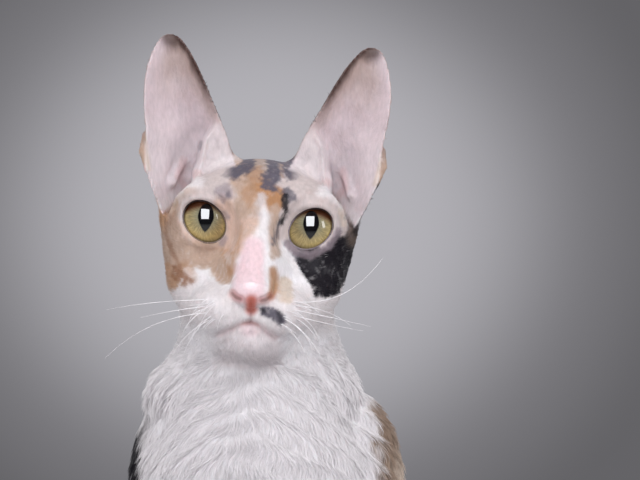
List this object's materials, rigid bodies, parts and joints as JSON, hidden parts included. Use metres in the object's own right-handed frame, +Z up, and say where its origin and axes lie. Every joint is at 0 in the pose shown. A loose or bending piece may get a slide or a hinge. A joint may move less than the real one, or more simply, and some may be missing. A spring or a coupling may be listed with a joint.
{
  "type": "cornish rex cat",
  "caption": "Life-size sitting rex cat, upright on its forelegs, with tall cupped ears, a long nose and a tail laid round one side.",
  "frame": {"origin": "on the floor, under the middle of the cat's bounding box", "axes": "+Z up, and the cat faces -Y with its own left side on +X"},
  "size_m": [0.168, 0.2964, 0.3972],
  "materials": {
    "face_coat": "very short soft coat in calico patches on white",
    "body_coat": "short wavy coat, white with black and tan patches",
    "ear_skin": "thin nearly bare pink skin",
    "nose_skin": "bare pink nose skin",
    "eye": "wet amber-olive eye with a dark pupil"
  },
  "bodies": {
    "root": {"head": "face_coat", "nose": "nose_skin", "neck": "body_coat", "torso": "body_coat", "eye_right": "eye", "eye_left": "eye", "ear_right": "ear_skin", "ear_left": "ear_skin", "foreleg_right": "body_coat", "foreleg_left": "body_coat", "forepaw_right": "body_coat", "forepaw_left": "body_coat", "thigh_right": "body_coat", "thigh_left": "body_coat", "hindfoot_right": "body_coat", "hindfoot_left": "body_coat", "tail_base": "body_coat", "tail_middle": "body_coat", "tail_end": "body_coat"}
  },
  "joints": []
}
